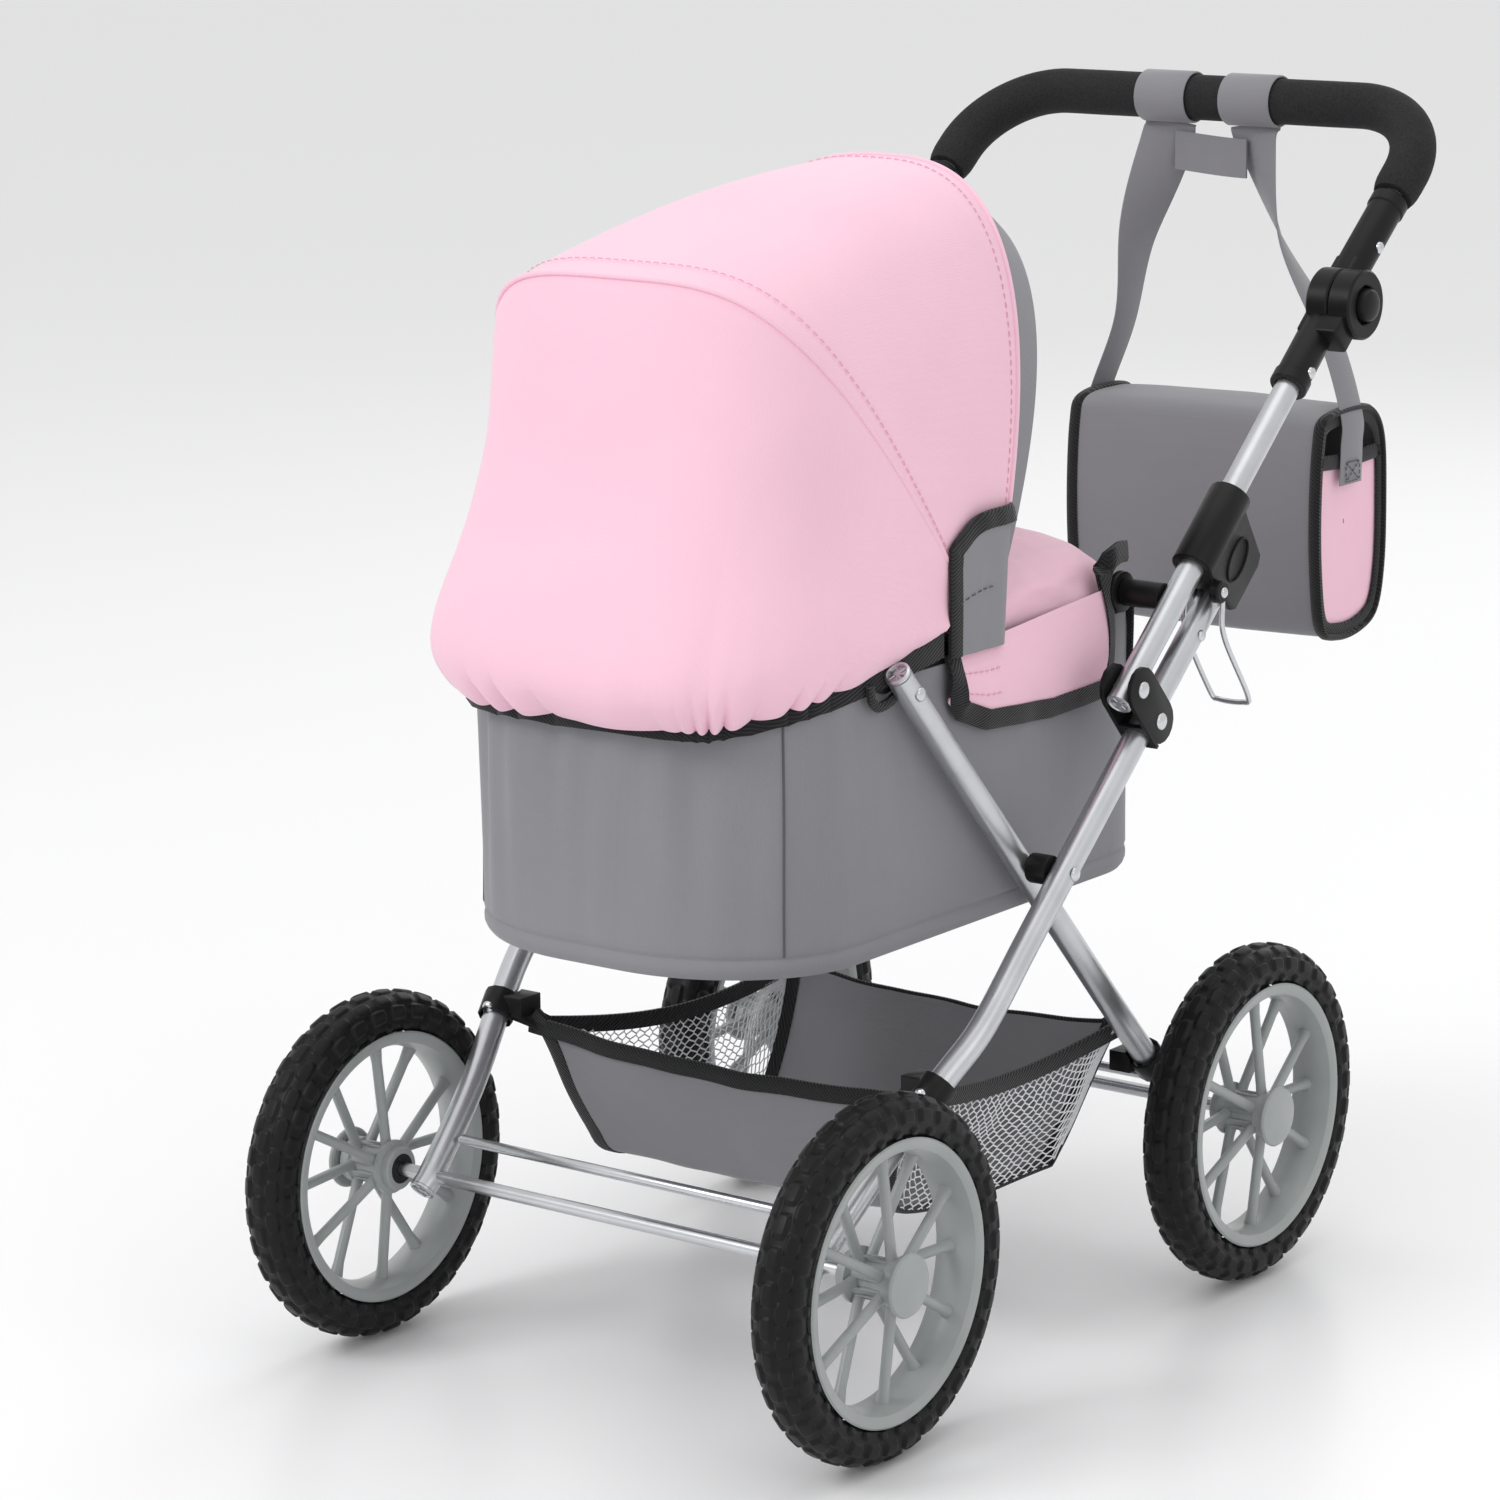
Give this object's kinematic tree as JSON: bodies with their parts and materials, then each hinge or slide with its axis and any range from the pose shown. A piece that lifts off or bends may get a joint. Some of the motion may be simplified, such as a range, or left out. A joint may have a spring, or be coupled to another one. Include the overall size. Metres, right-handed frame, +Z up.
{
  "type": "doll stroller",
  "caption": "Doll's pram: folding tubular X frame on spoked wheels, soft cot with folding hood and quilt, hammock basket, tilting foam handle with a hanging bag.",
  "frame": {"origin": "on the floor, below the middle of the outer box", "axes": "+Z up, +Y towards the pusher, +X to the pusher's left; the pram faces -Y"},
  "size_m": [0.3978, 0.742, 0.682],
  "materials": {
    "silver_tube": "satin silver",
    "steel": "bright zinc",
    "black_plastic": "fine spark-eroded grain",
    "foam": "closed-cell foam",
    "tyre": "foamed tyre with moulded tread",
    "grey_plastic": "satin moulded",
    "grey_fabric": "woven polyester",
    "pink_fabric": "woven polyester, light pink",
    "pad_fabric": "quilted pad",
    "board": "pressed fibre board"
  },
  "bodies": {
    "front_frame": {"front_leg_left": "silver_tube", "front_leg_right": "silver_tube", "fold_bracket_left": "black_plastic", "fold_bracket_right": "black_plastic", "crossing_bush_left": "black_plastic", "crossing_bush_right": "black_plastic", "front_basket_clamp_left": "black_plastic", "front_basket_clamp_right": "black_plastic", "front_axle": "steel", "front_brace": "steel", "basket": "grey_fabric"},
    "rear_frame": {"rear_leg_left": "silver_tube", "rear_leg_right": "silver_tube", "rear_basket_clamp_left": "black_plastic", "rear_basket_clamp_right": "black_plastic", "rear_axle": "steel", "rear_brace": "steel"},
    "handle_lower": {"handle_tube_left": "silver_tube", "handle_tube_right": "silver_tube", "knuckle_lower_left": "black_plastic", "knuckle_lower_right": "black_plastic", "cot_peg_left": "black_plastic", "cot_peg_right": "black_plastic"},
    "handle_upper": {"knuckle_upper_left": "black_plastic", "knuckle_upper_right": "black_plastic", "handlebar": "silver_tube", "foam_grip": "foam"},
    "cot": {"cot_tub": "grey_fabric", "cot_rim": "black_plastic", "cover": "pink_fabric", "hood_front_panel": "pink_fabric", "cot_bracket_left": "black_plastic", "cot_bracket_right": "black_plastic", "cot_catch_left": "black_plastic", "cot_catch_right": "black_plastic"},
    "cot_base": {"base_board": "board", "mattress": "pad_fabric"},
    "hood_front": {"hood_front_bow": "steel", "hood_rear_panel": "pink_fabric"},
    "hood_rim": {"hood_rim_bow": "steel"},
    "bag": {"bag": "grey_fabric", "bag_strap": "grey_fabric"},
    "button_left": {"knuckle_button_left": "black_plastic"},
    "lock_left": {"slide_lock_left": "black_plastic", "release_bail_left": "steel"},
    "front_wheel_body_left": {"front_tyre_left": "tyre", "front_wheel_left": "grey_plastic", "front_hub_cap_left": "grey_plastic"},
    "rear_wheel_body_left": {"rear_tyre_left": "tyre", "rear_wheel_left": "grey_plastic", "rear_hub_cap_left": "grey_plastic"},
    "button_right": {"knuckle_button_right": "black_plastic"},
    "lock_right": {"slide_lock_right": "black_plastic", "release_bail_right": "steel"},
    "front_wheel_body_right": {"front_tyre_right": "tyre", "front_wheel_right": "grey_plastic", "front_hub_cap_right": "grey_plastic"},
    "rear_wheel_body_right": {"rear_tyre_right": "tyre", "rear_wheel_right": "grey_plastic", "rear_hub_cap_right": "grey_plastic"}
  },
  "joints": [
    {"name": "frame_fold", "type": "hinge", "parent": "front_frame", "child": "rear_frame", "pos_m": [0, -0.0725, 0.2774], "axis": [1, 0, 0], "range_deg": [0, 48.17], "deforming": ["cot_tub", "basket"]},
    {"name": "handle_fold", "type": "hinge", "parent": "front_frame", "child": "handle_lower", "pos_m": [0, -0.009, 0.3705], "axis": [1, 0, 0], "range_deg": [0, 100.1]},
    {"name": "cot_pivot", "type": "hinge", "parent": "rear_frame", "child": "cot", "pos_m": [0, -0.188, 0.405], "axis": [1, 0, 0], "range_deg": [-14.1, 0]},
    {"name": "base_lift", "type": "slide", "parent": "cot", "child": "cot_base", "axis": [0, 0, 1], "range_m": [0, 0.101]},
    {"name": "handle_tilt", "type": "hinge", "parent": "handle_lower", "child": "handle_upper", "pos_m": [0, 0.209, 0.5626], "axis": [1, 0, 0], "range_deg": [-30, 45]},
    {"name": "hood_fold", "type": "hinge", "parent": "cot", "child": "hood_front", "pos_m": [0, -0.093, 0.409], "axis": [1, 0, 0], "range_deg": [0, 30], "deforming": ["hood_front_panel", "hood_rear_panel"]},
    {"name": "hood_rim_fold", "type": "hinge", "parent": "hood_front", "child": "hood_rim", "pos_m": [0, -0.093, 0.409], "axis": [1, 0, 0], "range_deg": [0, 45]},
    {"name": "bag_swing", "type": "hinge", "parent": "handle_upper", "child": "bag", "pos_m": [0, 0.3332, 0.665], "axis": [1, 0, 0], "range_deg": [-10, 50]},
    {"name": "button_press_left", "type": "slide", "parent": "handle_lower", "child": "button_left", "axis": [-1, 0, 0], "range_m": [0, 0.003], "stiffness_N_per_m": 500, "springref_m": -0.001},
    {"name": "lock_slide_left", "type": "slide", "parent": "handle_lower", "child": "lock_left", "axis": [0, 0.7513, 0.66], "range_m": [0, 0.03]},
    {"name": "front_wheel_spin_left", "type": "hinge", "parent": "front_frame", "child": "front_wheel_body_left", "pos_m": [0.1766, -0.271, 0.1], "axis": [1, 0, 0], "continuous": true},
    {"name": "rear_wheel_spin_left", "type": "hinge", "parent": "rear_frame", "child": "rear_wheel_body_left", "pos_m": [0.1766, 0.0998, 0.1], "axis": [1, 0, 0], "continuous": true},
    {"name": "button_press_right", "type": "slide", "parent": "handle_lower", "child": "button_right", "axis": [1, 0, 0], "range_m": [0, 0.003], "stiffness_N_per_m": 500, "springref_m": -0.001},
    {"name": "lock_slide_right", "type": "slide", "parent": "handle_lower", "child": "lock_right", "axis": [0, 0.7513, 0.66], "range_m": [0, 0.03]},
    {"name": "front_wheel_spin_right", "type": "hinge", "parent": "front_frame", "child": "front_wheel_body_right", "pos_m": [-0.1766, -0.271, 0.1], "axis": [1, 0, 0], "continuous": true},
    {"name": "rear_wheel_spin_right", "type": "hinge", "parent": "rear_frame", "child": "rear_wheel_body_right", "pos_m": [-0.1766, 0.0998, 0.1], "axis": [1, 0, 0], "continuous": true}
  ],
  "couplings": [
    {"joint": "handle_fold", "follows": "frame_fold", "ratio": 2.076},
    {"joint": "cot_pivot", "follows": "frame_fold", "ratio": -0.2898},
    {"joint": "base_lift", "follows": "frame_fold", "m_per_rad": 0.119},
    {"joint": "hood_rim_fold", "follows": "hood_fold", "ratio": 1.5}
  ]
}
